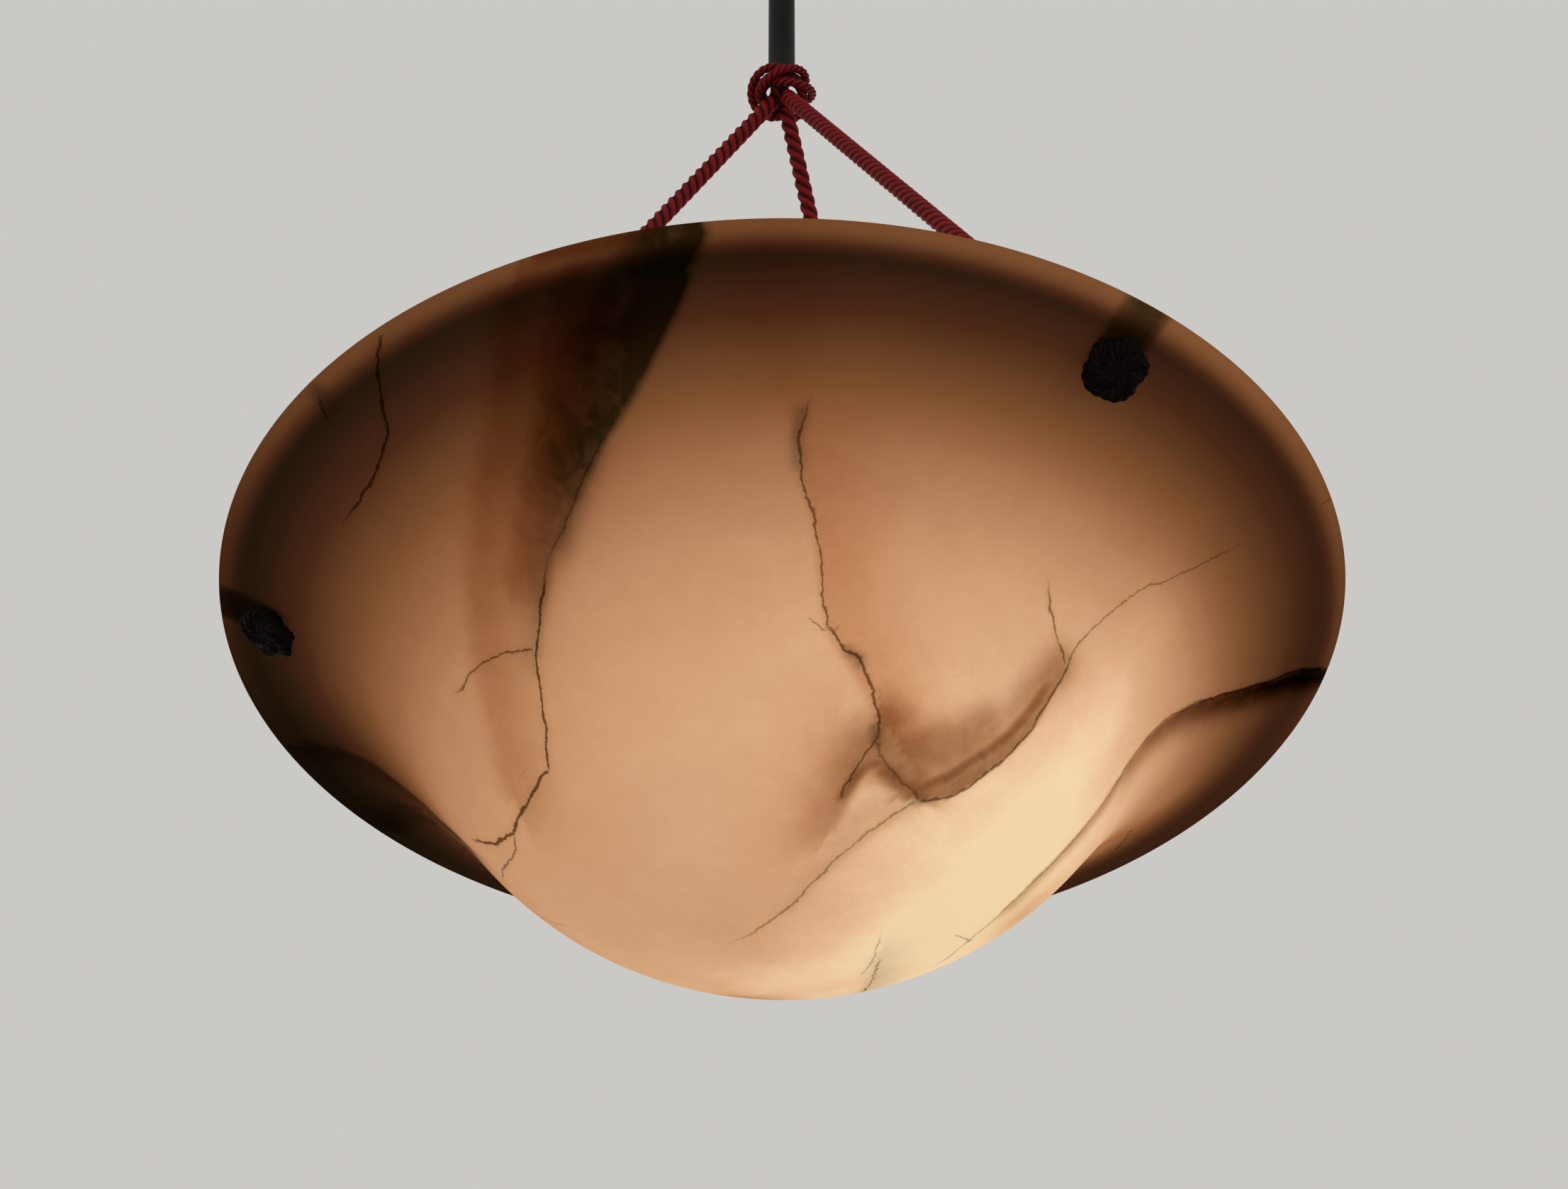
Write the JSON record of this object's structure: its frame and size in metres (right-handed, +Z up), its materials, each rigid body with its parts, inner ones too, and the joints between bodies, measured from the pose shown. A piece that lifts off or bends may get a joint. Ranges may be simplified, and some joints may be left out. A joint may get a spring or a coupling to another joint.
{
  "type": "bowl pendant light",
  "caption": "Ogee bowl of veined stone, lit from inside, hung on twisted cords from a knot under a slim black stem with a sliding bell canopy.",
  "frame": {"origin": "centre of the upper face of the ceiling plate, on the ceiling, on the stem's axis", "axes": "+Z up along the stem; -X towards the left cord; the pictured side faces -Y"},
  "size_m": [0.3499, 0.35, 0.541],
  "materials": {
    "stone": "polished veined alabaster, lit from inside",
    "silk_cord": "twisted silk cord, deep red, soft sheen",
    "black_metal": "semi-matt black lacquer",
    "steel": "zinc plated, dull",
    "bridge_steel": "bare spring steel strip",
    "brass": "satin, slightly tarnished",
    "nickel": "nickel plated",
    "porcelain": "white glaze",
    "white_plastic": "matt",
    "black_plastic": "moulded, satin",
    "dark_glass": "black insulating glass",
    "opal_glass": "frosted white inside, lit",
    "washer_rubber": "matt, soft",
    "flex_sleeve": "thin textile sleeve, dark red"
  },
  "bodies": {
    "ceiling": {"ceiling_plate": "steel", "ceiling_hook": "steel", "hook_nut": "steel", "terminal_block": "white_plastic", "terminal_screws": "brass", "flex_top": "flex_sleeve"},
    "shackle": {"shackle": "steel", "shackle_pin": "steel", "pin_nut": "steel"},
    "stem": {"stem": "black_metal", "hanger_eye": "black_metal", "flex_stem": "flex_sleeve"},
    "canopy": {"canopy": "black_metal", "canopy_collar": "black_metal"},
    "collar_screw": {"collar_screw": "black_metal"},
    "tie_ring": {"tie_ring": "steel", "flex_knee": "flex_sleeve"},
    "bowl": {"cord_gather": "silk_cord", "cord_knot": "silk_cord", "cord_left": "silk_cord", "cord_right": "silk_cord", "cord_back": "silk_cord", "rosette_left": "silk_cord", "rosette_right": "silk_cord", "rosette_back": "silk_cord", "bowl": "stone", "hole_washers": "washer_rubber", "bridge_hub": "bridge_steel", "bridge_arm_left": "bridge_steel", "bridge_arm_right": "bridge_steel", "bridge_arm_back": "bridge_steel", "bridge_rivets": "bridge_steel", "lampholder_nipple": "brass", "nipple_nuts": "brass", "lampholder_cap": "brass", "lampholder_body": "black_plastic", "lampholder_insert": "porcelain", "screw_shell": "brass", "contact_tongue": "brass", "holder_screws": "brass", "flex_lower": "flex_sleeve"},
    "bulb": {"bulb_cap": "nickel", "bulb_insulator": "dark_glass", "bulb_contact": "nickel", "bulb_glass": "opal_glass"}
  },
  "joints": [
    {"name": "swing_side", "type": "hinge", "parent": "ceiling", "child": "shackle", "pos_m": [0, 0, -0.034], "axis": [0, 1, 0], "range_deg": [-2, 2]},
    {"name": "swing_front", "type": "hinge", "parent": "shackle", "child": "stem", "pos_m": [0, 0, -0.052], "axis": [1, 0, 0], "range_deg": [-2, 2]},
    {"name": "canopy_slide", "type": "slide", "parent": "stem", "child": "canopy", "axis": [0, 0, -1], "range_m": [0, 0.06]},
    {"name": "collar_screw_turn", "type": "hinge", "parent": "canopy", "child": "collar_screw", "pos_m": [0, 0, -0.08605], "axis": [0, 1, 0], "continuous": true},
    {"name": "ring_swing", "type": "hinge", "parent": "stem", "child": "tie_ring", "pos_m": [0, 0, -0.16475], "axis": [0.7071, 0.7071, 0], "range_deg": [-6, 6]},
    {"name": "bowl_swing", "type": "hinge", "parent": "tie_ring", "child": "bowl", "pos_m": [0, 0, -0.1697], "axis": [-0.7071, 0.7071, 0], "range_deg": [-6, 6]},
    {"name": "bulb_turn", "type": "hinge", "parent": "bowl", "child": "bulb", "pos_m": [0, 0, -0.45], "axis": [0, 0, 1], "continuous": true}
  ]
}
